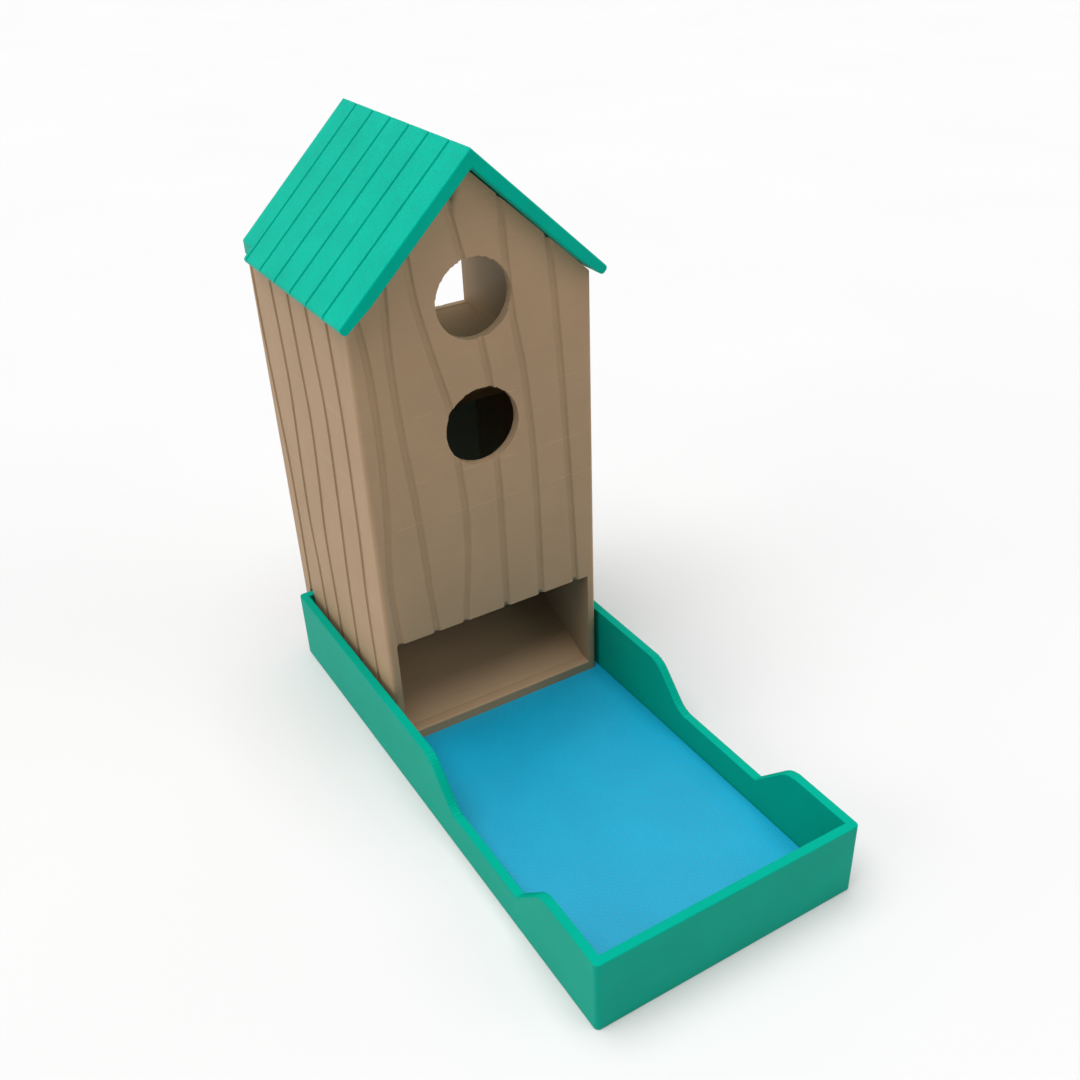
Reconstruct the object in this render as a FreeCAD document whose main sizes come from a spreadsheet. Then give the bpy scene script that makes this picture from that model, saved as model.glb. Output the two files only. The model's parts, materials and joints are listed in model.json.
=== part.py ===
"""Dice tower: a birdhouse-shaped drop tower that hooks over the rear wall of a dice tray.

Frame: origin at the centre of the tray's underside, +X to the right as seen from the open end of
the tray, +Y from that end towards the tower, +Z up. Millimetres and degrees.
"""
import FreeCAD, Part
import math
import os
import re
import Sketcher

SIZES = {
    # tray
    "tray_width": 60.6,
    "tray_length": 136.4,
    "tray_wall": 2.0,
    "tray_height": 17.5,
    "tray_corner_radius": 1.0,
    "base_thickness": 1.0,
    "mat_thickness": 0.6,
    "mat_gap": 0.1,
    # dips in the tray's long walls
    "dip_height": 8.5,
    "dip_front": 27.7,
    "dip_rear": 54.1,
    "dip_round": 6.0,
    # tower walls
    "tower_side_gap": 1.2,
    "tower_depth": 54.2,
    "tower_wall": 2.1,
    "rear_panel_thickness": 2.2,
    "tower_overhang": 4.4,
    "corner_round": 1.0,
    "eave_height": 102.9,
    "rear_opening_height": 21.0,
    "slot_clearance": 0.4,
    # openings in the front panel
    "exit_top": 29.5,
    "hole_radius": 8.5,
    "upper_hole_rise": 0.5,
    "hole_spacing": 27.5,
    # sill and ramps
    "sill_height": 2.6,
    "sill_depth": 2.9,
    "ramp_thickness": 2.0,
    "exit_ramp_angle": 25.0,
    "middle_ramp_angle": 28.0,
    "middle_ramp_drop": 11.7,
    "middle_ramp_run": 24.0,
    "upper_ramp_angle": 28.0,
    "upper_ramp_run": 23.0,
    # roof
    "roof_angle": 43.2,
    "roof_thickness": 2.6,
    "roof_front_overhang": 2.8,
    "roof_rear_overhang": 0.9,
    "eave_overhang": 2.5,
    "eave_tip": 2.0,
    "eave_taper": 7.2,
    "eave_round": 0.8,
    "front_plank": 8.1,
    "rear_plank": 7.5,
    "plank_groove": 0.8,
    "plank_groove_depth": 0.7,
    "notch_length": 6.1,
    # ribs under the roof that locate it behind the front panel
    "rib_end_gap": 7.0,
    "rib_width": 2.4,
    "rib_height": 2.4,
    "rib_gap": 0.4,
}
PLANK_GROOVES = 6

doc = FreeCAD.newDocument("dice_tower")
sheet = doc.addObject("Spreadsheet::Sheet", "Sizes")
for row, (alias, number) in enumerate(SIZES.items(), start=1):
    sheet.set(f"A{row}", alias.replace("_", " "))
    sheet.set(f"B{row}", str(number))
    sheet.setAlias(f"B{row}", alias)
doc.recompute()

ALIAS = re.compile(r"\b(" + "|".join(sorted(SIZES, key=len, reverse=True)) + r")\b")

# Places that several sub-parts share, written once as formulas of the sheet's sizes.
TRAY_FRONT = "(-tray_length / 2)"
MAT_TOP = "(base_thickness + mat_thickness)"
TOWER_FRONT = "(tray_length / 2 + tower_overhang - tower_depth)"
TOWER_WIDTH = "(tray_width - 2 * tray_wall - 2 * tower_side_gap)"
TOWER_INSIDE = f"({TOWER_WIDTH} - 2 * tower_wall)"
REAR_PANEL_TOP = "(eave_height - rear_opening_height)"
UPPER_RAMP_LIP = f"({REAR_PANEL_TOP} - upper_ramp_run * tan(upper_ramp_angle))"
SLOPE = "tan(roof_angle)"
APEX = f"(eave_height + {TOWER_WIDTH} / 2 * {SLOPE})"
ROOF_RUN = f"(({TOWER_WIDTH} / 2 + eave_overhang) / cos(roof_angle))"
ROOF_FRONT = f"({TOWER_FRONT} - roof_front_overhang)"
ROOF_LENGTH = "(roof_front_overhang + tower_depth + roof_rear_overhang)"
PLANK_PITCH = f"(({ROOF_LENGTH} - front_plank - rear_plank) / {PLANK_GROOVES - 1})"
ROOF_BASE = f"({APEX} + roof_thickness / cos(roof_angle) - roof_thickness * cos(roof_angle))"


def formula(text):
    """Turns a formula of size names into one that reads the sheet."""
    return ALIAS.sub(r"Sizes.\g<0>", text)


def bind(thing, prop, text):
    thing.setExpression(prop, formula(text))


def place(thing, x="0", y="0", z="0"):
    """Binds where a sub-part stands to the sheet."""
    bind(thing, "Placement.Base.x", x)
    bind(thing, "Placement.Base.y", y)
    bind(thing, "Placement.Base.z", z)


def new_body(name):
    body = doc.addObject("PartDesign::Body", name)
    body.Label = name
    return body


def new_sketch(body, role):
    """An empty sketch on one of the body's own origin planes."""
    sketch = body.newObject("Sketcher::SketchObject", f"{body.Name}_{role[:2]}_outline")
    plane = [feature for feature in body.Origin.OriginFeatures if feature.Role == role][0]
    sketch.AttachmentSupport = (plane, [""])
    sketch.MapMode = "FlatFace"
    return sketch


def pin_point(sketch, line, across, up):
    """Fixes a line's start at a place given by two formulas."""
    for kind, text in (("DistanceX", across), ("DistanceY", up)):
        number = sketch.addConstraint(Sketcher.Constraint(kind, -1, 1, line, 1, 1.0))
        bind(sketch, f"Constraints[{number}]", text)


def add_outline(sketch, corners):
    """Adds a closed outline of straight lines through corners given as pairs of formulas."""
    count = len(corners)
    first = sketch.GeometryCount
    ring = [FreeCAD.Vector(math.cos(2 * math.pi * k / count), math.sin(2 * math.pi * k / count), 0)
            for k in range(count)]
    for k in range(count):
        sketch.addGeometry(Part.LineSegment(ring[k], ring[(k + 1) % count]), False)
    for k in range(count):
        after = first + (k + 1) % count
        sketch.addConstraint(Sketcher.Constraint("Coincident", first + k, 2, after, 1))
    for k, (across, up) in enumerate(corners):
        pin_point(sketch, first + k, across, up)


def rectangle(left, right, low, high):
    return [(left, low), (right, low), (right, high), (left, high)]


def pad(body, sketch, length, reverse=False):
    feature = body.newObject("PartDesign::Pad", f"{body.Name}_pad")
    feature.Profile = sketch
    feature.Reversed = reverse
    bind(feature, "Length", length)
    sketch.Visibility = False
    doc.recompute()
    return feature


def pocket(body, sketch, length="2 * (tray_length + tower_depth)"):
    """Cuts the sketch to both sides of its plane and makes sure that it took material away."""
    before = body.Shape.Volume
    feature = body.newObject("PartDesign::Pocket", f"{body.Name}_pocket")
    feature.Profile = sketch
    feature.Type = 0
    feature.Midplane = True
    bind(feature, "Length", length)
    sketch.Visibility = False
    doc.recompute()
    if body.Shape.Volume >= before:
        raise RuntimeError(f"{body.Label}: a cut removed nothing")
    return feature


def edges_along(shape, axis):
    """Names and middles of the straight edges that run along one axis of the body."""
    found = []
    for number, edge in enumerate(shape.Edges, start=1):
        if len(edge.Vertexes) == 2:
            run = edge.Vertexes[1].Point - edge.Vertexes[0].Point
            others = [run[other] for other in range(3) if other != axis]
            if max(abs(value) for value in others) < 1e-6:
                found.append((f"Edge{number}", (edge.Vertexes[0].Point + edge.Vertexes[1].Point) / 2))
    return found


def fillet(body, base, names, radius):
    feature = body.newObject("PartDesign::Fillet", f"{body.Name}_fillet")
    feature.Base = (base, names)
    bind(feature, "Radius", radius)
    doc.recompute()
    return feature


def extruded(name, role, corners, length, reverse=False):
    """A body made of one outline and one pad."""
    body = new_body(name)
    sketch = new_sketch(body, role)
    add_outline(sketch, corners)
    return body, pad(body, sketch, length, reverse)


# ---------------------------------------------------------------- tray
def make_tray_base():
    across = "tray_width / 2"
    outline = rectangle(f"-{across}", across, TRAY_FRONT, "tray_length / 2")
    body, base = extruded("tray_base", "XY_Plane", outline, "base_thickness")
    names = [name for name, middle in edges_along(base.Shape, 2)]
    fillet(body, base, names, "tray_corner_radius")
    return body


def make_tray_end(name, front):
    """The front or rear wall of the tray, with its two outer corners rounded."""
    across = "tray_width / 2"
    outline = rectangle(f"-{across}", across, "0", "tray_wall")
    body, base = extruded(name, "XY_Plane", outline, "tray_height - base_thickness")
    outer = [(entry, middle.y) for entry, middle in edges_along(base.Shape, 2)]
    outer.sort(key=lambda entry: entry[1], reverse=not front)
    fillet(body, base, [entry for entry, _ in outer[:2]], "tray_corner_radius")
    place(body, y=TRAY_FRONT if front else "tray_length / 2 - tray_wall", z="base_thickness")
    return body


def make_tray_side(name, left):
    """A long wall of the tray: high at both ends, with a dip between them for the hand."""
    low = "(dip_height - base_thickness)"
    high = "(tray_height - base_thickness)"
    rise = "(tray_height - dip_height)"
    outline = [
        ("tray_wall", "0"),
        ("tray_length - tray_wall", "0"),
        ("tray_length - tray_wall", high),
        (f"dip_rear + {rise}", high),
        ("dip_rear", low),
        ("dip_front", low),
        (f"dip_front - {rise}", high),
        ("tray_wall", high),
    ]
    body, base = extruded(name, "YZ_Plane", outline, "tray_wall")
    bends = [(middle.y, edge) for edge, middle in edges_along(base.Shape, 0) if middle.z > 1e-6]
    bends.sort()
    front_top, _, rear_foot, rear_top = [edge for _, edge in bends[1:5]]
    fillet(body, base, [front_top, rear_foot, rear_top], "dip_round")
    place(body, "-tray_width / 2" if left else "tray_width / 2 - tray_wall", TRAY_FRONT, "base_thickness")
    return body


def make_floor_mat():
    """The thin coloured sheet that covers the tray's floor between its walls."""
    mat = doc.addObject("Part::Box", "floor_mat")
    mat.Label = "floor_mat"
    bind(mat, "Length", "tray_width - 2 * tray_wall - 2 * mat_gap")
    bind(mat, "Width", "tray_length - 2 * tray_wall - 2 * mat_gap")
    bind(mat, "Height", "mat_thickness")
    place(mat, "-tray_width / 2 + tray_wall + mat_gap", f"{TRAY_FRONT} + tray_wall + mat_gap",
          "base_thickness")
    return mat


# ---------------------------------------------------------------- tower
def make_front_panel():
    """The gabled front with two round holes and the wide mouth where dice leave."""
    half = f"{TOWER_WIDTH} / 2"
    inside = f"{TOWER_INSIDE} / 2"
    mouth_top = f"(exit_top - {MAT_TOP})"
    outline = [
        (f"-{half}", "0"),
        (f"-{inside}", "0"),
        (f"-{inside}", mouth_top),
        (inside, mouth_top),
        (inside, "0"),
        (half, "0"),
        (half, f"eave_height - {MAT_TOP}"),
        ("0", f"{APEX} - {MAT_TOP}"),
        (f"-{half}", f"eave_height - {MAT_TOP}"),
    ]
    body, base = extruded("front_panel", "XZ_Plane", outline, "tower_wall", reverse=True)
    front = [(abs(middle.x), name) for name, middle in edges_along(base.Shape, 2) if middle.y < 1e-6]
    front.sort(reverse=True)
    fillet(body, base, [name for _, name in front[:2]], "corner_round")
    sketch = new_sketch(body, "XZ_Plane")
    upper = "(eave_height + upper_hole_rise)"
    for height in (f"({upper} - hole_spacing)", upper):
        ring = sketch.addGeometry(Part.Circle(FreeCAD.Vector(0, 1, 0), FreeCAD.Vector(0, 0, 1), 1), False)
        across = sketch.addConstraint(Sketcher.Constraint("DistanceX", -1, 1, ring, 3, 1.0))
        up = sketch.addConstraint(Sketcher.Constraint("DistanceY", -1, 1, ring, 3, 1.0))
        radius = sketch.addConstraint(Sketcher.Constraint("Radius", ring, 1.0))
        bind(sketch, f"Constraints[{across}]", "0")
        bind(sketch, f"Constraints[{up}]", f"{height} - {MAT_TOP}")
        bind(sketch, f"Constraints[{radius}]", "hole_radius")
    pocket(body, sketch)
    place(body, y=TOWER_FRONT, z=MAT_TOP)
    return body


def make_side_panel(name, left):
    """A side wall whose foot is slotted to pass down over the tray's rear wall."""
    slot_front = "(tower_depth - tower_overhang - tray_wall - slot_clearance)"
    slot_rear = "(tower_depth - tower_overhang + slot_clearance)"
    slot_top = f"(tray_height + slot_clearance - {MAT_TOP})"
    outer_top = f"(eave_height - {MAT_TOP})"
    inner_top = f"({outer_top} + tower_wall * {SLOPE})"
    outline = [
        ("tower_wall", "0"),
        (slot_front, "0"),
        (slot_front, slot_top),
        (slot_rear, slot_top),
        (slot_rear, "0"),
        ("tower_depth", "0"),
        ("tower_depth", inner_top),
        ("tower_wall", inner_top),
    ]
    body, _ = extruded(name, "YZ_Plane", outline, "tower_wall")
    outer, inner = ("0", "tower_wall") if left else ("tower_wall", "0")
    sketch = new_sketch(body, "XZ_Plane")
    add_outline(sketch, [(outer, outer_top), (inner, inner_top), (outer, f"{inner_top} + tower_wall")])
    pocket(body, sketch)
    place(body, f"-{TOWER_WIDTH} / 2" if left else f"{TOWER_WIDTH} / 2 - tower_wall", TOWER_FRONT,
          MAT_TOP)
    return body


def make_rear_panel():
    """The low rear wall: dice go in over its top, and its foot hangs behind the tray."""
    panel = doc.addObject("Part::Box", "rear_panel")
    panel.Label = "rear_panel"
    bind(panel, "Length", TOWER_INSIDE)
    bind(panel, "Width", "rear_panel_thickness")
    bind(panel, "Height", f"{REAR_PANEL_TOP} - {MAT_TOP}")
    place(panel, f"-{TOWER_INSIDE} / 2", f"{TOWER_FRONT} + tower_depth - rear_panel_thickness", MAT_TOP)
    return panel


def make_exit_sill():
    """The bar across the foot of the front panel, between its legs, that the exit ramp ends on."""
    sill = doc.addObject("Part::Box", "exit_sill")
    sill.Label = "exit_sill"
    bind(sill, "Length", TOWER_INSIDE)
    bind(sill, "Width", "sill_depth")
    bind(sill, "Height", "sill_height")
    place(sill, f"-{TOWER_INSIDE} / 2", TOWER_FRONT, MAT_TOP)
    return sill


def make_ramp(name, angle, near, far, near_height):
    """A sloping shelf across the shaft, from y = near to y = far inside the tower.

    near_height is the height of its upper face at near; a positive angle climbs towards far.
    """
    drop = f"(ramp_thickness / cos({angle}))"
    climb = f"(({far}) - ({near})) * tan({angle})"
    low_near = f"{near_height} - {drop}"
    outline = [
        (near, low_near),
        (far, f"{low_near} + {climb}"),
        (far, f"{near_height} + {climb}"),
        (near, near_height),
    ]
    body, _ = extruded(name, "YZ_Plane", outline, TOWER_INSIDE)
    place(body, f"-{TOWER_INSIDE} / 2", TOWER_FRONT, MAT_TOP)
    return body


# ---------------------------------------------------------------- roof
def make_roof_slope(name, left):
    """One flat half of the roof, drawn lying down and then tilted to the roof's angle.

    Its own X runs down the slope from the ridge, its own Z out of the upper face. The left half
    is drawn from its rear end, so that turning it half round brings that end to the rear.
    """
    top = "roof_thickness"
    outline = [
        ("0", top),
        (ROOF_RUN, top),
        (ROOF_RUN, f"{top} - eave_tip"),
        (f"{ROOF_RUN} - eave_taper", "0"),
        (f"{top} * {SLOPE}", "0"),
    ]
    body, base = extruded(name, "XZ_Plane", outline, ROOF_LENGTH, reverse=True)
    eave = [(middle.x, edge) for edge, middle in edges_along(base.Shape, 1)]
    eave.sort(reverse=True)
    fillet(body, base, [edge for _, edge in eave[:2]], "eave_round")

    grooves = new_sketch(body, "YZ_Plane")
    for count in range(PLANK_GROOVES):
        middle = f"(front_plank + {count} * {PLANK_PITCH})"
        if left:
            middle = f"({ROOF_LENGTH} - {middle})"
        add_outline(grooves, [
            (f"{middle} - plank_groove / 2", top),
            (middle, f"{top} - plank_groove_depth"),
            (f"{middle} + plank_groove / 2", top),
        ])
    pocket(body, grooves)

    # At the rear the eave is cut off plumb, flush with the outside of the side wall.
    notch = new_sketch(body, "XZ_Plane")
    cut_top = f"({TOWER_WIDTH} / 2 / cos(roof_angle))"
    add_outline(notch, [
        (cut_top, top),
        (f"{cut_top} + {top} * {SLOPE}", "0"),
        (f"2 * {ROOF_RUN}", "0"),
        (f"2 * {ROOF_RUN}", top),
    ])
    if not left:
        bind(notch, "AttachmentOffset.Base.z", f"-{ROOF_LENGTH}")
    pocket(body, notch, "2 * notch_length")

    tilt = FreeCAD.Rotation(FreeCAD.Vector(0, 1, 0), SIZES["roof_angle"])
    turn = FreeCAD.Rotation(FreeCAD.Vector(0, 0, 1), 180 if left else 0)
    body.Placement.Rotation = turn.multiply(tilt)
    sideways = "roof_thickness * sin(roof_angle)"
    if left:
        place(body, sideways, f"{ROOF_FRONT} + {ROOF_LENGTH}", ROOF_BASE)
    else:
        place(body, f"-{sideways}", ROOF_FRONT, ROOF_BASE)
    return body


def make_roof_rib(name, left):
    """A bar under one slope, just behind the front panel and inside the side wall."""
    rib = doc.addObject("Part::Box", name)
    rib.Label = name
    start = "(rib_height * tan(roof_angle) + rib_gap)"
    bind(rib, "Length", f"({TOWER_INSIDE} / 2 - rib_end_gap) / cos(roof_angle) - {start}")
    bind(rib, "Width", "rib_width")
    bind(rib, "Height", "rib_height")
    tilt = FreeCAD.Rotation(FreeCAD.Vector(0, 1, 0), SIZES["roof_angle"])
    turn = FreeCAD.Rotation(FreeCAD.Vector(0, 0, 1), 180 if left else 0)
    rib.Placement.Rotation = turn.multiply(tilt)
    across = f"({start} * cos(roof_angle) - rib_height * sin(roof_angle))"
    near = f"({TOWER_FRONT} + tower_wall + rib_gap)"
    up = f"({APEX} - {start} * sin(roof_angle) - rib_height * cos(roof_angle))"
    if left:
        place(rib, f"-{across}", f"{near} + rib_width", up)
    else:
        place(rib, across, near, up)
    return rib


def build_all():
    shaft_rear = "(tower_depth - rear_panel_thickness)"
    parts = [
        make_tray_base(),
        make_tray_end("tray_front_wall", True),
        make_tray_end("tray_rear_wall", False),
        make_tray_side("tray_left_wall", True),
        make_tray_side("tray_right_wall", False),
        make_floor_mat(),
        make_front_panel(),
        make_side_panel("left_panel", True),
        make_side_panel("right_panel", False),
        make_rear_panel(),
        make_exit_sill(),
        make_ramp("exit_ramp", "exit_ramp_angle", "sill_depth", shaft_rear, "sill_height"),
        make_ramp("middle_ramp", "-middle_ramp_angle", "tower_wall", "tower_wall + middle_ramp_run",
                  f"{UPPER_RAMP_LIP} - middle_ramp_drop - {MAT_TOP}"),
        make_ramp("upper_ramp", "upper_ramp_angle", f"{shaft_rear} - upper_ramp_run", shaft_rear,
                  f"{UPPER_RAMP_LIP} - {MAT_TOP}"),
        make_roof_slope("roof_left_slope", True),
        make_roof_slope("roof_right_slope", False),
        make_roof_rib("roof_left_rib", True),
        make_roof_rib("roof_right_rib", False),
    ]
    doc.recompute()
    return parts


def check(parts):
    """Stops if anything in the document failed or a sub-part has no sound shape."""
    for thing in doc.Objects:
        if "Invalid" in thing.State or "Error" in thing.State:
            raise RuntimeError(f"{thing.Name} failed: {thing.State}")
    for part in parts:
        if part.Shape.isNull() or not part.Shape.isValid() or part.Shape.Volume <= 0:
            raise RuntimeError(f"{part.Label} has no sound shape")


parts = build_all()
check(parts)
os.makedirs("parts", exist_ok=True)
for part in parts:
    part.Shape.exportStep(f"parts/{part.Label}.step")
    box = part.Shape.BoundBox
    print(f"{part.Label:18s} solids {len(part.Shape.Solids)} volume {part.Shape.Volume:9.1f} "
          f"x {box.XMin:7.2f} {box.XMax:7.2f}  y {box.YMin:7.2f} {box.YMax:7.2f}  "
          f"z {box.ZMin:7.2f} {box.ZMax:7.2f}")
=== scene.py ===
"""Looks of a printed dice tower: a birdhouse with boarded walls and a plank roof, standing in a
dice tray. Run as a script, it finishes every piece around the fixed model and sets the stage.

Everything is in metres in the model's own frame: origin at the centre of the tray's underside,
+X to the right as seen from the tray's open end, +Y towards the tower, +Z up.
"""
import json
import math
import bmesh
import bpy
from bpy.props import FloatProperty, FloatVectorProperty, PointerProperty
from bpy.types import Operator, Panel, PropertyGroup
from mathutils import Matrix, Vector, noise
from mathutils.geometry import interpolate_bezier


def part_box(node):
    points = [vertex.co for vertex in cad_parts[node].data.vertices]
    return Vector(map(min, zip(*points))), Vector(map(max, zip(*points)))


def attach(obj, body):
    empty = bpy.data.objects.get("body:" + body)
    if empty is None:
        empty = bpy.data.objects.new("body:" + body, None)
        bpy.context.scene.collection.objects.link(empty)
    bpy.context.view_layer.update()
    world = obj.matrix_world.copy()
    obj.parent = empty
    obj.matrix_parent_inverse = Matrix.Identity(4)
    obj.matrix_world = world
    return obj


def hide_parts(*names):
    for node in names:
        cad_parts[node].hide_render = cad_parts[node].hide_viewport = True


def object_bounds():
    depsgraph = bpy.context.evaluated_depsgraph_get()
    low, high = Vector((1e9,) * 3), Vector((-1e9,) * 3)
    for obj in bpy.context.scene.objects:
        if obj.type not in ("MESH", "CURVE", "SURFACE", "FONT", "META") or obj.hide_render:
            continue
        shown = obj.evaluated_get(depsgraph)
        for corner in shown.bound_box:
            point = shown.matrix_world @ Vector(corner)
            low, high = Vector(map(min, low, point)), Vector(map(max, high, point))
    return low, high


bl_info = {
    "name": "Printed dice tower",
    "version": (1, 0, 0),
    "blender": (4, 5, 0),
    "location": "3D View > Sidebar > Dice tower",
    "description": "Finishes the pieces of a printed dice tower and its tray",
    "category": "Object",
}

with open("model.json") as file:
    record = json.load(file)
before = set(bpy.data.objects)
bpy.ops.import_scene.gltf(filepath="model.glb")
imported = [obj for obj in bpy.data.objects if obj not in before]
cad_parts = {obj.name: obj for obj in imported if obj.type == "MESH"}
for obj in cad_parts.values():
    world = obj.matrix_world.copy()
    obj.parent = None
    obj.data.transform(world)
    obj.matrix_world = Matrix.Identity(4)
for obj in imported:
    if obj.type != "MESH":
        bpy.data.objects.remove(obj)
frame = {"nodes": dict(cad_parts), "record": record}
CAD_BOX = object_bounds()

MM = 0.001
NEAR = 0.1 * MM  # two places nearer than this count as the same
TRAY, TOWER, ROOF = "tray", "tower", "roof"

# Board joints of the tower's faces, set point by point: (across, height) in millimetres, from the
# top down. On the front and the back, across is the way from the middle; on the sides it is the
# way from the tower's rear edge.
FRONT_JOINTS = [
    [(-26.0, 109), (-23.9, 96), (-23.2, 78), (-23.7, 61), (-24.5, 51), (-24.7, 42), (-24.0, 29)],
    [(-18.9, 113), (-19.2, 95), (-18.3, 78), (-16.8, 61), (-15.8, 43), (-15.1, 29)],
    [(-14.1, 118), (-13.0, 106), (-11.1, 97), (-8.9, 88), (-7.1, 80), (-6.4, 68), (-5.6, 56),
     (-6.2, 43), (-7.8, 29)],
    [(-5.6, 127), (-3.9, 119), (-2.1, 111), (-0.5, 103), (0.6, 95), (2.1, 85), (2.6, 68),
     (2.9, 56), (2.9, 29)],
    [(6.8, 123), (7.1, 113), (8.1, 99), (10.1, 86), (11.5, 69), (12.0, 52), (12.1, 29)],
    [(17.0, 113), (17.8, 104), (19.0, 87), (19.9, 69), (20.7, 52), (21.5, 29)],
]
SIDE_JOINTS = [
    [(2.0, 108), (2.3, 94), (3.1, 81), (4.4, 66), (5.4, 52), (5.5, 35), (5.0, 17)],
    [(12.6, 108), (14.4, 92), (15.4, 78), (14.3, 60), (13.7, 43), (15.0, 28), (16.0, 0)],
    [(23.0, 108), (24.6, 90), (26.0, 74), (25.0, 58), (23.5, 43), (24.2, 24), (24.4, 0)],
    [(32.6, 108), (34.8, 92), (36.4, 78), (35.8, 56), (34.7, 36), (34.6, 18), (34.8, 0)],
    [(43.6, 108), (45.2, 92), (46.1, 77), (46.0, 54), (45.1, 36), (45.7, 16), (45.9, 0)],
]

# Each light's name, the direction that it comes from, and how wide it looks, in degrees.
LIGHTS = (
    ("overhead", (-0.15, 0.02, 1.0), 56),
    ("side", (-1.0, 0.1, 0.3), 50),
    ("front", (0.66, -0.7, 0.3), 50),
)


# ---------------------------------------------------------------- what a user may change
class PrintSizes(PropertyGroup):
    """Sizes of the printed detail."""
    layer: FloatProperty(name="Layer", description="Height of one printed layer",
                         default=0.3 * MM, min=0.05 * MM, subtype="DISTANCE", unit="LENGTH")
    edge: FloatProperty(name="Edge", description="Softness of the printed edges",
                        default=0.22 * MM, min=0.0, subtype="DISTANCE", unit="LENGTH")
    corner: FloatProperty(name="Rear corner", description="Rounding of the tower's rear corners",
                          default=0.9 * MM, min=0.0, subtype="DISTANCE", unit="LENGTH")
    roof_gap: FloatProperty(name="Roof gap", description="Gap between the gable and the roof",
                            default=0.5 * MM, min=0.0, subtype="DISTANCE", unit="LENGTH")
    joint_width: FloatProperty(name="Joint width", description="Flat width of a board joint",
                               default=1.0 * MM, min=0.0, subtype="DISTANCE", unit="LENGTH")
    joint_shoulder: FloatProperty(name="Joint shoulder", description="Width of a joint's soft side",
                                  default=0.65 * MM, min=0.0, subtype="DISTANCE", unit="LENGTH")
    joint_lip: FloatProperty(name="Joint lip", description="Width of a joint's sharp side",
                             default=0.25 * MM, min=0.0, subtype="DISTANCE", unit="LENGTH")
    joint_depth: FloatProperty(name="Joint depth", description="Depth of a board joint",
                               default=0.42 * MM, min=0.0, subtype="DISTANCE", unit="LENGTH")


class FinishColours(PropertyGroup):
    """Colours of the printed plastics."""
    tower: FloatVectorProperty(name="Tower", description="Plastic of the walls and ramps",
                               subtype="COLOR", size=3, min=0, max=1, default=(0.345, 0.232, 0.138))
    tray: FloatVectorProperty(name="Tray", description="Plastic of the tray",
                              subtype="COLOR", size=3, min=0, max=1, default=(0.0, 0.30, 0.21))
    roof: FloatVectorProperty(name="Roof", description="Plastic of the roof",
                              subtype="COLOR", size=3, min=0, max=1, default=(0.0, 0.345, 0.245))
    mat: FloatVectorProperty(name="Floor sheet", description="Plastic of the tray's floor sheet",
                             subtype="COLOR", size=3, min=0, max=1, default=(0.0, 0.285, 0.46))


class StageSettings(PropertyGroup):
    """The camera's place and the light."""
    camera_place: FloatVectorProperty(name="Camera", description="Where the camera stands",
                                      subtype="TRANSLATION", unit="LENGTH", size=3,
                                      default=(-0.1000, -0.1765, 0.1813))
    heading: FloatProperty(name="Heading", description="Turn of the view about the vertical",
                           default=math.radians(-29.8), subtype="ANGLE", unit="ROTATION")
    tilt: FloatProperty(name="Tilt", description="How far the view looks down",
                        default=math.radians(33.12), subtype="ANGLE", unit="ROTATION")
    roll: FloatProperty(name="Roll", description="Turn of the camera about its own view",
                        default=math.radians(-2.57), subtype="ANGLE", unit="ROTATION")
    lens: FloatProperty(name="Lens", description="Focal length on a 36 mm wide sensor",
                        default=38.82, min=1.0, subtype="DISTANCE_CAMERA")
    shift_x: FloatProperty(name="Shift across", description="Sideways shift of the lens",
                           default=0.0013)
    shift_y: FloatProperty(name="Shift up", description="Upward shift of the lens",
                           default=0.0324)
    sky_front: FloatProperty(name="Sky in front", description="Even light from the camera's side",
                             default=0.12, min=0.0)
    sky_rear: FloatProperty(name="Sky behind", description="Even light from behind and beside",
                            default=0.42, min=0.0)
    overhead: FloatProperty(name="Overhead", description="Strength of the wide light above",
                            default=3.3, min=0.0)
    side: FloatProperty(name="Side", description="Strength of the wide light from the left",
                        default=0.98, min=0.0)
    front: FloatProperty(name="Front", description="Strength of the wide light from the front right",
                         default=0.75, min=0.0)
    backdrop: FloatProperty(name="Backdrop", description="Brightness of the backdrop as it is seen",
                            default=0.95, min=0.0)


def sizes():
    return bpy.context.scene.dice_tower_sizes


def colours():
    return bpy.context.scene.dice_tower_colours


def stage():
    return bpy.context.scene.dice_tower_stage


# ---------------------------------------------------------------- shader maths
class Value:
    """A socket of a material, which Python's own operators join to more maths nodes."""

    def __init__(self, finish, socket):
        self.finish = finish
        self.socket = socket

    def maths(self, operation, *terms):
        return self.finish.add("ShaderNodeMath", {"operation": operation},
                               dict(enumerate(terms)))

    def __add__(self, other):
        return self.maths("ADD", self, other)

    __radd__ = __add__

    def __sub__(self, other):
        return self.maths("SUBTRACT", self, other)

    def __rsub__(self, other):
        return self.maths("SUBTRACT", other, self)

    def __mul__(self, other):
        return self.maths("MULTIPLY", self, other)

    __rmul__ = __mul__

    def __truediv__(self, other):
        return self.maths("DIVIDE", self, other)

    def __rtruediv__(self, other):
        return self.maths("DIVIDE", other, self)

    def __abs__(self):
        return self.maths("ABSOLUTE", self)

    def __mod__(self, other):
        return self.maths("FLOORED_MODULO", self, other)


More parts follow.
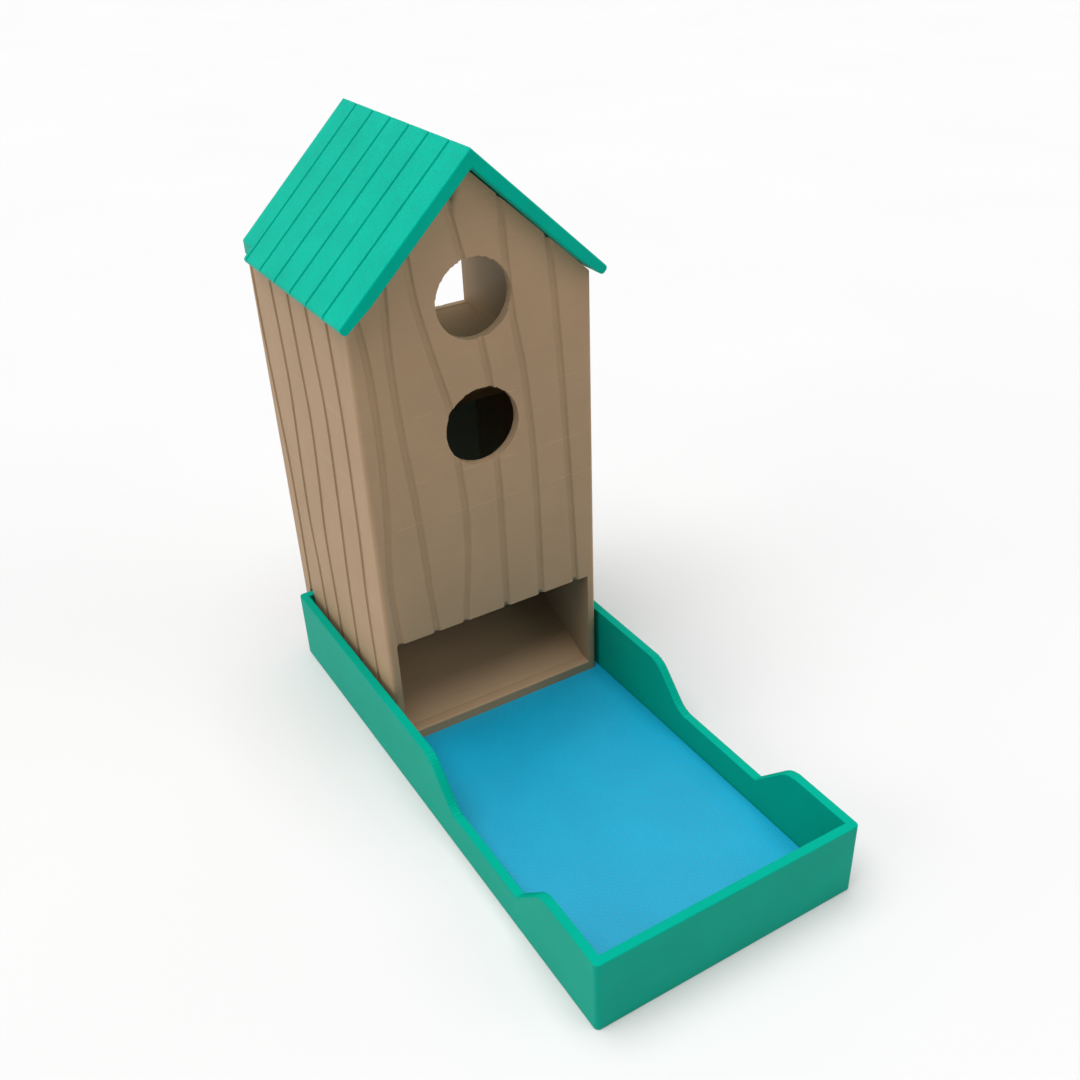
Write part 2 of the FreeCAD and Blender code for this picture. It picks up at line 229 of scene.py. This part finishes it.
class Finish:
    """A material while it is made: its shader, and one way to add any other node."""

    def __init__(self, name, constants):
        self.material = bpy.data.materials.new(name)
        self.material.use_nodes = True
        self.tree = self.material.node_tree
        self.shader = self.tree.nodes["Principled BSDF"]
        for socket, value in constants.items():
            self.shader.inputs[socket].default_value = value

    def add(self, kind, settings, sockets, out=0):
        """Adds a node, sets it up, fills its sockets with values or links, and returns an output."""
        node = self.tree.nodes.new(kind)
        for name, value in settings.items():
            setattr(node, name, value)
        for name, value in sockets.items():
            if isinstance(value, Value):
                self.tree.links.new(value.socket, node.inputs[name])
            else:
                node.inputs[name].default_value = value
        return Value(self, node.outputs[out])

    def feed(self, name, value):
        """Links a value to one of the shader's own sockets."""
        self.tree.links.new(value.socket, self.shader.inputs[name])

    def place(self, stretch=(1, 1, 1)):
        """Where a point lies on the piece, in millimetres, stretched along each axis."""
        spot = self.add("ShaderNodeTexCoord", {}, {}, "Object")
        scale = [factor / MM for factor in stretch]
        return self.add("ShaderNodeVectorMath", {"operation": "MULTIPLY"}, {0: spot, 1: scale})

    def part(self, vector, axis):
        """One part of a vector: X, Y or Z."""
        return self.add("ShaderNodeSeparateXYZ", {}, {0: vector}, axis)

    def noise(self, vector, size, detail=2.0, roughness=0.5):
        """Cloudy noise from 0 to 1 whose features are about size millimetres wide."""
        sockets = {"Vector": vector, "Scale": 1 / size, "Detail": detail, "Roughness": roughness}
        return self.add("ShaderNodeTexNoise", {}, sockets, "Fac")

    def between(self, value, low, high, start=0.0, end=1.0):
        """Maps low..high smoothly to start..end, and stays there outside."""
        sockets = {0: value, 1: low, 2: high, 3: start, 4: end}
        return self.add("ShaderNodeMapRange", {"interpolation_type": "SMOOTHSTEP"}, sockets)

    def blend(self, share, first, second):
        """Mixes two colours by a share."""
        sockets = {0: share, 6: first, 7: second}
        return self.add("ShaderNodeMix", {"data_type": "RGBA"}, sockets, 2)

    def bump(self, height, distance):
        """Feeds a height from 0 to 1 to the surface as relief, distance deep."""
        sockets = {"Height": height, "Distance": distance, "Strength": 1.0}
        self.feed("Normal", self.add("ShaderNodeBump", {}, sockets, "Normal"))


def tone(colour, factor):
    """A lighter or darker colour of the same hue, with its alpha."""
    return (*[min(1.0, channel * factor) for channel in colour], 1.0)


def tint(colour, share=0.85):
    """A pale tint of a colour, for the reflections of plastic that is dyed right through."""
    brightest = max(colour)
    return (*[1 - share + share * channel / brightest for channel in colour], 1.0)


def ridges(distance, pitch=1.0):
    """Rounded ridges a pitch apart: 1 in the middle of each, 0 in the valley where two meet."""
    across = (distance if pitch == 1.0 else distance / pitch) % 1.0 - 0.5
    return 1.0 - across * across * 4.0


def printed_plastic(name, colour, gloss, rings=()):
    """Plastic laid down in level layers; rings are heights where a layer shows more."""
    finish = Finish(name, {"Specular IOR Level": gloss, "Specular Tint": tint(colour)})
    stacked = finish.place([MM / sizes().layer] * 3)
    ridge = ridges(finish.part(stacked, "Z"))
    streak = finish.noise(finish.place((0.05, 0.05, 2.2)), 1.0, 3.0, 0.6)
    cloud = finish.noise(finish.place(), 14.0, 2.0)
    grit = finish.noise(finish.place(), 0.35, 2.0, 0.7)
    height = finish.part(finish.place(), "Z")
    line = 0.0
    for ring in rings:
        line = finish.between(abs(height - ring / MM), 0.08, 0.22, 1.0, 0.0) + line
    shade = (streak - 0.5) * 0.35 + (cloud - 0.5) * 0.5 + (grit - 0.5) * 0.3 + 0.5
    if rings:
        patch = finish.between(finish.noise(finish.place((1, 1, 0.2)), 9.0), 0.42, 0.62)
        shade = shade + line * patch * 0.5
    colour_mix = finish.blend(finish.between(shade, 0.0, 1.0), tone(colour, 0.88), tone(colour, 1.12))
    finish.feed("Base Color", colour_mix)
    finish.feed("Roughness", finish.between(grit + streak, 0.6, 1.4, 0.46, 0.6))
    finish.bump(ridge * 0.6 + streak * 0.6 + grit * 0.5 + line * 0.6, 0.022 * MM)
    return finish.material


def tower_plastic():
    rings = [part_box("upper_ramp")[0].z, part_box("rear_panel")[1].z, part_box("middle_ramp")[1].z]
    return printed_plastic("tower_plastic_finish", colours().tower, 0.2, rings)


def tray_plastic():
    return printed_plastic("tray_plastic_finish", colours().tray, 0.08)


def roof_plastic():
    """Plastic with the grain of the rough plate that the roof was printed on."""
    colour = colours().roof
    finish = Finish("roof_plastic_finish",
                    {"Specular IOR Level": 0.15, "Specular Tint": tint(colour, 1.0)})
    spot = finish.place()
    facing = finish.add("ShaderNodeTexCoord", {}, {}, "Normal")
    upper = finish.between(finish.part(facing, "Z"), 0.4, 0.65)
    grain = (finish.noise(spot, 0.42, 2.0, 0.6) - 0.5) * upper + 0.5
    cloud = finish.noise(spot, 9.0, 2.0)
    shade = (grain - 0.5) * 1.3 + (cloud - 0.5) * 0.5 + 0.5
    finish.feed("Base Color", finish.blend(finish.between(shade, 0.1, 0.9),
                                           tone(colour, 0.86), tone(colour, 1.14)))
    finish.feed("Roughness", finish.between(grain, 0.3, 0.7, 0.42, 0.62))
    finish.bump(grain, 0.14 * MM)
    return finish.material


def mat_plastic():
    """The floor sheet: fine crossed lines of its one printed layer."""
    finish = Finish("mat_plastic_finish", {"Specular IOR Level": 0.5})
    turned = finish.add("ShaderNodeVectorRotate", {"rotation_type": "Z_AXIS"},
                        {"Vector": finish.place(), "Angle": math.radians(45)})
    weave = ridges(finish.part(turned, "X"), 0.45) + ridges(finish.part(turned, "Y"), 0.9) * 0.4
    cloud = finish.noise(finish.place(), 18.0, 3.0)
    grit = finish.noise(finish.place(), 0.5, 2.0)
    colour = colours().mat
    shade = (cloud - 0.5) * 0.6 + (grit - 0.5) * 0.4 + (weave - 0.9) * 0.45 + 0.5
    finish.feed("Base Color", finish.blend(finish.between(shade, 0.0, 1.0),
                                           tone(colour, 0.86), tone(colour, 1.12)))
    finish.feed("Roughness", finish.between(weave + grit, 0.5, 1.8, 0.52, 0.4))
    finish.bump(weave * 0.6 + grit * 0.5, 0.04 * MM)
    return finish.material


def pale_paper():
    """The sheet of pale paper that everything stands on."""
    finish = Finish("pale_paper", {"Roughness": 0.9, "Specular IOR Level": 0.0})
    cloud = finish.noise(finish.place((0.01, 0.01, 0.01)), 1.0)
    darker, lighter = (0.61, 0.61, 0.61, 1), (0.63, 0.63, 0.63, 1)
    finish.feed("Base Color", finish.blend(cloud, darker, lighter))
    return finish.material


MAKERS = {"tower_plastic": tower_plastic, "tray_plastic": tray_plastic,
          "roof_plastic": roof_plastic, "mat_plastic": mat_plastic}


def plastic(slot):
    """The finish of a slot, made the first time that it is asked for."""
    return bpy.data.materials.get(f"{slot}_finish") or MAKERS[slot]()


# ---------------------------------------------------------------- mesh work
def clean_copy(node):
    """A bmesh of a model node with its loose triangles joined into whole faces."""
    shape = bmesh.new()
    shape.from_mesh(frame["nodes"][node].data)
    bmesh.ops.remove_doubles(shape, verts=shape.verts, dist=0.001 * MM)
    bmesh.ops.dissolve_limit(shape, angle_limit=math.radians(0.5), verts=shape.verts,
                             edges=shape.edges)
    return shape


def bevel(shape, edges, width, segments=2):
    """Rounds edges off."""
    if edges:
        bmesh.ops.bevel(shape, geom=edges, offset=width, offset_type="OFFSET", segments=segments,
                        profile=0.5, affect="EDGES", clamp_overlap=True, material=-1)


def hard_edges(shape, wanted=lambda middle: True):
    """Outer corners of more than 30 degrees whose middle passes a test."""
    found = []
    for edge in shape.edges:
        if len(edge.link_faces) == 2 and edge.calc_face_angle_signed() > math.radians(30):
            if wanted((edge.verts[0].co + edge.verts[1].co) / 2):
                found.append(edge)
    return found


def finished_piece(name, shape, body, slot, *nodes):
    """Makes a bmesh a piece that rides on a body and stands for model nodes."""
    mesh = bpy.data.meshes.new(name)
    shape.to_mesh(mesh)
    shape.free()
    piece = bpy.data.objects.new(name, mesh)
    bpy.context.scene.collection.objects.link(piece)
    mesh.materials.append(plastic(slot))
    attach(piece, body)
    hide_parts(*nodes)
    return piece


def shade(piece, angle=35):
    """Smooth shading between shallow faces, with wide flat faces kept flat."""
    mesh = piece.data
    mesh.shade_smooth()
    mesh.set_sharp_from_angle(angle=math.radians(angle))
    weighted = piece.modifiers.new("even_shading", "WEIGHTED_NORMAL")
    weighted.keep_sharp = True
    weighted.weight = 100
    apply_modifiers(piece)


def apply_modifiers(piece):
    """Makes what the piece's modifiers do a part of its own mesh."""
    graph = bpy.context.evaluated_depsgraph_get()
    done = bpy.data.meshes.new_from_object(piece.evaluated_get(graph))
    old = piece.data
    piece.modifiers.clear()
    piece.data = done
    bpy.data.meshes.remove(old)


def smooth_line(points, steps=10):
    """A smooth line through points, as vectors: it passes each one along the way to the next but one."""
    ends = [Vector(point) for point in (points[0], *points, points[-1])]
    line = []
    for before, start, end, after in zip(ends, ends[1:], ends[2:], ends[3:]):
        stretch = interpolate_bezier(start, start + (end - before) / 6, end - (after - start) / 6,
                                     end, steps)
        line += stretch[:-1]
    return line + [ends[-1]]


def joint_side(shoulder, margin, steps=6):
    """One side of a board joint: (half width, depth) from its floor to a margin over the surface."""
    side = []
    for step in range(steps + 1):
        share = step / steps
        depth = (sizes().joint_depth + margin) * (1 + math.cos(math.pi * share)) / 2
        side.append((sizes().joint_width / 2 + shoulder * share, depth - margin))
    return side


def joint_cutter(route, put):
    """A closed solid that follows a route; put(across, depth, height) places its points."""
    outside = 1.0 * MM
    margin = 0.03 * MM
    sharp = joint_side(sizes().joint_lip, margin)
    soft = joint_side(sizes().joint_shoulder, margin)
    for side in (sharp, soft):
        side.append((side[-1][0], -outside))
    outline = [(-width, depth) for width, depth in reversed(sharp)] + soft
    line = [point * MM for point in smooth_line([(across, height, 0) for across, height in route])]
    cutter = bmesh.new()
    start = line[0]
    corners = [cutter.verts.new(put(start.x + width, depth, start.y)) for width, depth in outline]
    end = [cutter.faces.new(corners)]
    for here, there in zip(line, line[1:]):
        grown = bmesh.ops.extrude_face_region(cutter, geom=end)["geom"]
        if here != start:
            bmesh.ops.delete(cutter, geom=end, context="FACES_ONLY")
        end = [item for item in grown if isinstance(item, bmesh.types.BMFace)]
        step = put(there.x, 0.0, there.y) - put(here.x, 0.0, here.y)
        bmesh.ops.translate(cutter, vec=step, verts=end[0].verts)
    bmesh.ops.recalc_face_normals(cutter, faces=cutter.faces)
    return cutter


def cut_joints(piece, routes, put):
    """Cuts a board joint into the piece along each route."""
    cutters = bpy.data.meshes.new("joint_cutters")
    together = bmesh.new()
    for route in routes:
        cutter = joint_cutter(route, put)
        cutter.to_mesh(cutters)
        together.from_mesh(cutters)
        cutter.free()
    together.to_mesh(cutters)
    together.free()
    tool = bpy.data.objects.new("joint_cutters", cutters)
    bpy.context.scene.collection.objects.link(tool)
    boolean = piece.modifiers.new("joints", "BOOLEAN")
    boolean.operation = "DIFFERENCE"
    boolean.solver = "EXACT"
    boolean.object = tool
    apply_modifiers(piece)
    bpy.data.objects.remove(tool)
    bpy.data.meshes.remove(cutters)


def sloping_strip(shape):
    """The faces of a wall's upper edge that slope along the wall, and their corners."""
    strip = [face for face in shape.faces if 0.05 < face.normal.z < 0.995
             and abs(face.normal.y) > 0.05]
    return strip, {vertex for face in strip for vertex in face.verts}


def step_slopes(shape, top):
    """Turns the sloping strips of a printed wall's upper edge into steps one layer high."""
    layer_height = sizes().layer
    riser = 0.01 * MM
    corners = sloping_strip(shape)[1]
    lowest = min(vertex.co.z for vertex in corners)
    count = round((top - lowest) / layer_height)
    for layer in range(count):
        middle = top - (layer + 0.5) * layer_height
        for height in (middle - riser, middle + riser):
            strip, corners = sloping_strip(shape)
            edges = {edge for face in strip for edge in face.edges}
            bmesh.ops.bisect_plane(shape, geom=[*corners, *edges, *strip], dist=0.0001 * MM,
                                   plane_co=(0, 0, height), plane_no=(0, 0, 1))
    for vertex in sloping_strip(shape)[1]:
        vertex.co.z = top - round((top - vertex.co.z) / layer_height) * layer_height
    shape.normal_update()


def roughen_rims(shape, openings):
    """Breaks up the printed edge of round holes, most where the plastic sagged at the top."""
    ragged, sagged = 0.05 * MM, 0.25 * MM
    grain = 0.5 * MM
    for opening in openings:
        low, high = opening["box_m"]
        centre = Vector(((low[0] + high[0]) / 2, 0, (low[2] + high[2]) / 2))
        reach = 1.5 * (high[2] - low[2]) / 2
        near = {vertex for vertex in shape.verts
                if math.hypot(vertex.co.x - centre.x, vertex.co.z - centre.z) < reach}
        rim = [edge for edge in shape.edges if near.issuperset(edge.verts)
               and abs(edge.verts[0].co.y - edge.verts[1].co.y) < NEAR / 10]
        bmesh.ops.subdivide_edges(shape, edges=rim, cuts=3)
        for vertex in shape.verts:
            out = Vector((vertex.co.x - centre.x, 0, vertex.co.z - centre.z))
            if out.length < reach:
                sag = ragged + sagged * max(0.0, out.z / out.length)
                vertex.co += out.normalized() * noise.noise(vertex.co / grain) * sag


# ---------------------------------------------------------------- the pieces
class PieceOperator:
    bl_options = {"REGISTER", "UNDO"}


class DICETOWER_OT_front_panel(PieceOperator, Operator):
    """Makes the gabled front panel with its board joints, holes and mouth"""
    bl_idname = "dice_tower.front_panel"
    bl_label = "Front panel"

    def execute(self, context):
        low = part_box("front_panel")[0]
        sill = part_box("exit_sill")[1]
        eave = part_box("left_panel")[1].z
        shape = clean_copy("front_panel")

        def softened(middle):
            at_front = middle.y < low.y + NEAR
            opening = abs(middle.x) < sill.x + NEAR and middle.z > sill.z
            return at_front and opening and middle.z < eave

        gable = [vertex for vertex in shape.verts if vertex.co.z > eave]
        bmesh.ops.translate(shape, vec=(0, 0, -sizes().roof_gap), verts=gable)
        openings = frame["record"]["physics"]["openings"]
        roughen_rims(shape, [hole for hole in openings if hole["name"].endswith("_hole")])
        bevel(shape, hard_edges(shape, softened), 1.5 * sizes().edge)
        piece = finished_piece("front_panel_printed", shape, TOWER, "tower_plastic", "front_panel")
        cut_joints(piece, FRONT_JOINTS, lambda across, depth, height:
                   Vector((across, low.y + depth, height)))
        shade(piece)
        return {"FINISHED"}


class DICETOWER_OT_side_panels(PieceOperator, Operator):
    """Makes the two side panels with their board joints"""
    bl_idname = "dice_tower.side_panels"
    bl_label = "Side panels"

    def execute(self, context):
        for name, side in (("left_panel", -1), ("right_panel", 1)):
            low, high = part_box(name)
            outer = max(abs(low.x), abs(high.x))
            shape = clean_copy(name)
            rear = [edge for edge in hard_edges(shape, lambda middle, limit=high.y:
                    middle.y > limit - NEAR and abs(middle.x) > outer - NEAR)
                    if abs(edge.verts[0].co.z - edge.verts[1].co.z) > 1 * MM]
            bevel(shape, rear, sizes().corner, 4)
            piece = finished_piece(f"{name}_printed", shape, TOWER, "tower_plastic", name)
            cut_joints(piece, SIDE_JOINTS, lambda across, depth, height:
                       Vector((side * (outer - depth), high.y - across, height)))
            shade(piece)
        return {"FINISHED"}


class DICETOWER_OT_rear_panel(PieceOperator, Operator):
    """Makes the low rear panel, boarded like the front"""
    bl_idname = "dice_tower.rear_panel"
    bl_label = "Rear panel"

    def execute(self, context):
        low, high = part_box("rear_panel")
        shape = clean_copy("rear_panel")
        bevel(shape, hard_edges(shape, lambda middle: middle.z > high.z - NEAR
                                and abs(middle.x) < high.x - NEAR), sizes().edge)
        piece = finished_piece("rear_panel_printed", shape, TOWER, "tower_plastic", "rear_panel")
        top, foot = 100, low.z / MM - 2
        longer = [[*[(across, height) for across, height in route if height < top],
                   (route[-1][0], foot)] for route in FRONT_JOINTS[1:]]
        cut_joints(piece, longer, lambda across, depth, height:
                   Vector((-across, high.y - depth, height)))
        shade(piece)
        return {"FINISHED"}


class DICETOWER_OT_ramps(PieceOperator, Operator):
    """Makes the sill of the mouth and the three ramps"""
    bl_idname = "dice_tower.ramps"
    bl_label = "Sill and ramps"

    def execute(self, context):
        for name in ("exit_sill", "exit_ramp", "middle_ramp", "upper_ramp"):
            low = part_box(name)[0]
            shape = clean_copy(name)
            if name != "exit_ramp":
                wanted = hard_edges(shape, lambda middle, floor=low.z + NEAR:
                                    abs(middle.x) < 1 * MM and middle.z > floor)
                if name == "exit_sill":
                    wanted = [edge for edge in wanted if edge.verts[0].co.y < low.y + NEAR]
                bevel(shape, wanted, 1.6 * sizes().edge, 3)
            piece = finished_piece(f"{name}_printed", shape, TOWER, "tower_plastic", name)
            shade(piece)
        return {"FINISHED"}


class DICETOWER_OT_roof(PieceOperator, Operator):
    """Makes the two planked slopes of the roof and the ribs under them"""
    bl_idname = "dice_tower.roof"
    bl_label = "Roof"

    def execute(self, context):
        for side in ("left", "right"):
            slope = f"roof_{side}_slope"
            shape = clean_copy(slope)
            low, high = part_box(slope)
            rakes = hard_edges(shape, lambda middle, front=low.y, rear=high.y:
                               abs(middle.x) > 2 * NEAR
                               and (middle.y < front + NEAR or middle.y > rear - NEAR))
            bevel(shape, rakes, 1.4 * sizes().edge, 3)
            piece = finished_piece(f"{slope}_printed", shape, ROOF, "roof_plastic", slope)
            shade(piece, 12)
            rib = f"roof_{side}_rib"
            shape = clean_copy(rib)
            bevel(shape, hard_edges(shape), sizes().edge)
            shade(finished_piece(f"{rib}_printed", shape, ROOF, "roof_plastic", rib))
        return {"FINISHED"}


class DICETOWER_OT_tray(PieceOperator, Operator):
    """Makes the tray's base and its four walls"""
    bl_idname = "dice_tower.tray"
    bl_label = "Tray"

    def execute(self, context):
        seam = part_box("tray_front_wall")[1].y
        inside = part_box("tray_right_wall")[0].x
        foot = 0.9 * MM
        for name in ("tray_base", "tray_front_wall", "tray_rear_wall", "tray_left_wall",
                     "tray_right_wall"):
            low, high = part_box(name)
            shape = clean_copy(name)
            if name in ("tray_front_wall", "tray_rear_wall"):
                for side in (-1, 1):
                    bmesh.ops.bisect_plane(shape, geom=[*shape.verts, *shape.edges, *shape.faces],
                                           plane_co=(side * inside, 0, 0), plane_no=(1, 0, 0))

            def softened(middle):
                if name == "tray_base":
                    return middle.z < foot
                if middle.z < low.z + NEAR:
                    return False
                covered = abs(abs(middle.y) - abs(seam)) < NEAR
                crosswise = low.x < -inside and high.x > inside
                return not covered or (crosswise and abs(middle.x) < inside - NEAR)

            bevel(shape, hard_edges(shape, softened), sizes().edge)
            if name in ("tray_left_wall", "tray_right_wall"):
                step_slopes(shape, high.z)
            shade(finished_piece(f"{name}_printed", shape, TRAY, "tray_plastic", name))
        return {"FINISHED"}


class DICETOWER_OT_floor_mat(PieceOperator, Operator):
    """Makes the coloured sheet on the tray's floor"""
    bl_idname = "dice_tower.floor_mat"
    bl_label = "Floor sheet"

    def execute(self, context):
        shape = clean_copy("floor_mat")
        bevel(shape, hard_edges(shape), 0.5 * sizes().edge)
        shade(finished_piece("floor_mat_printed", shape, TRAY, "mat_plastic", "floor_mat"))
        return {"FINISHED"}


# ---------------------------------------------------------------- the stage
def add_light(name, source, spread, strength):
    """A light as wide as a softbox, far off in the direction of source."""
    light = bpy.data.lights.new(name, "SUN")
    light.angle = math.radians(spread)
    light.energy = strength
    lamp = bpy.data.objects.new(name, light)
    lamp.location = Vector(source)
    lamp.rotation_euler = Vector(source).to_track_quat("Z", "Y").to_euler()
    bpy.context.scene.collection.objects.link(lamp)


def lay_floor(low):
    """A wide pale floor just under the object."""
    half_width = 4.0
    shape = bmesh.new()
    bmesh.ops.create_grid(shape, x_segments=1, y_segments=1, size=half_width,
                          matrix=Matrix.Translation((0, 0, low)))
    mesh = bpy.data.meshes.new("floor")
    shape.to_mesh(mesh)
    shape.free()
    mesh.materials.append(pale_paper())
    floor = bpy.data.objects.new("floor", mesh)
    bpy.context.scene.collection.objects.link(floor)


def light_sky(front, rear, backdrop):
    """White light from all round, weaker from the front; the camera sees a pale backdrop."""
    world = bpy.data.worlds.new("studio")
    world.use_nodes = True
    tree = world.node_tree
    sky = tree.nodes["Background"]
    sky.inputs["Color"].default_value = (1, 1, 1, 1)
    direction = tree.nodes.new("ShaderNodeTexCoord")
    parts = tree.nodes.new("ShaderNodeSeparateXYZ")
    strength = tree.nodes.new("ShaderNodeMapRange")
    strength.inputs["From Min"].default_value = -0.95
    strength.inputs["From Max"].default_value = -0.35
    strength.inputs["To Min"].default_value = front
    strength.inputs["To Max"].default_value = rear
    tree.links.new(direction.outputs["Generated"], parts.inputs[0])
    tree.links.new(parts.outputs["Y"], strength.inputs["Value"])
    tree.links.new(strength.outputs[0], sky.inputs["Strength"])
    seen = tree.nodes.new("ShaderNodeBackground")
    seen.inputs["Color"].default_value = (1, 1, 1, 1)
    seen.inputs["Strength"].default_value = backdrop
    ray = tree.nodes.new("ShaderNodeLightPath")
    choice = tree.nodes.new("ShaderNodeMixShader")
    tree.links.new(ray.outputs["Is Camera Ray"], choice.inputs[0])
    tree.links.new(sky.outputs[0], choice.inputs[1])
    tree.links.new(seen.outputs[0], choice.inputs[2])
    tree.links.new(choice.outputs[0], tree.nodes["World Output"].inputs["Surface"])
    bpy.context.scene.world = world


class DICETOWER_OT_stage(Operator):
    """Lays the floor and sets the lights and the camera"""
    bl_idname = "dice_tower.stage"
    bl_label = "Stage"

    def execute(self, context):
        settings = stage()
        lay_floor(CAD_BOX[0][2] - NEAR / 5)
        light_sky(settings.sky_front, settings.sky_rear, settings.backdrop)
        for name, source, spread in LIGHTS:
            add_light(name, source, spread, getattr(settings, name))
        lens = bpy.data.cameras.new("camera")
        lens.sensor_width = 36
        lens.lens = settings.lens
        lens.shift_x = settings.shift_x
        lens.shift_y = settings.shift_y
        lens.clip_start = 0.01
        camera = bpy.data.objects.new("camera", lens)
        turn = Matrix.Rotation(settings.heading, 4, "Z")
        look = Matrix.Rotation(math.pi / 2 - settings.tilt, 4, "X")
        roll = Matrix.Rotation(settings.roll, 4, "Z")
        camera.matrix_world = Matrix.Translation(settings.camera_place) @ turn @ look @ roll
        context.scene.collection.objects.link(camera)
        context.scene.camera = camera
        context.scene.view_settings.view_transform = "Standard"
        return {"FINISHED"}


# ---------------------------------------------------------------- the add-on
OPERATORS = (
    DICETOWER_OT_stage,
    DICETOWER_OT_tray,
    DICETOWER_OT_floor_mat,
    DICETOWER_OT_front_panel,
    DICETOWER_OT_side_panels,
    DICETOWER_OT_rear_panel,
    DICETOWER_OT_ramps,
    DICETOWER_OT_roof,
)


class DICETOWER_PT_sidebar(Panel):
    """The dice tower's sizes, colours and steps"""
    bl_idname = "DICETOWER_PT_sidebar"
    bl_label = "Dice tower"
    bl_space_type = "VIEW_3D"
    bl_region_type = "UI"
    bl_category = "Dice tower"

    def draw(self, context):
        layout = self.layout
        for group in (sizes(), colours(), stage()):
            column = layout.column()
            for name in group.__annotations__:
                column.prop(group, name)
        for operator in OPERATORS:
            layout.operator(operator.bl_idname)


GROUPS = {"dice_tower_sizes": PrintSizes, "dice_tower_colours": FinishColours,
          "dice_tower_stage": StageSettings}
CLASSES = (*GROUPS.values(), *OPERATORS, DICETOWER_PT_sidebar)


def register():
    for item in CLASSES:
        bpy.utils.register_class(item)
    for name, group in GROUPS.items():
        setattr(bpy.types.Scene, name, PointerProperty(type=group))


def unregister():
    for name in GROUPS:
        delattr(bpy.types.Scene, name)
    for item in reversed(CLASSES):
        bpy.utils.unregister_class(item)


def main():
    register()
    for operator in OPERATORS:
        group, name = operator.bl_idname.split(".")
        getattr(getattr(bpy.ops, group), name)()


if __name__ == "__main__":
    main()
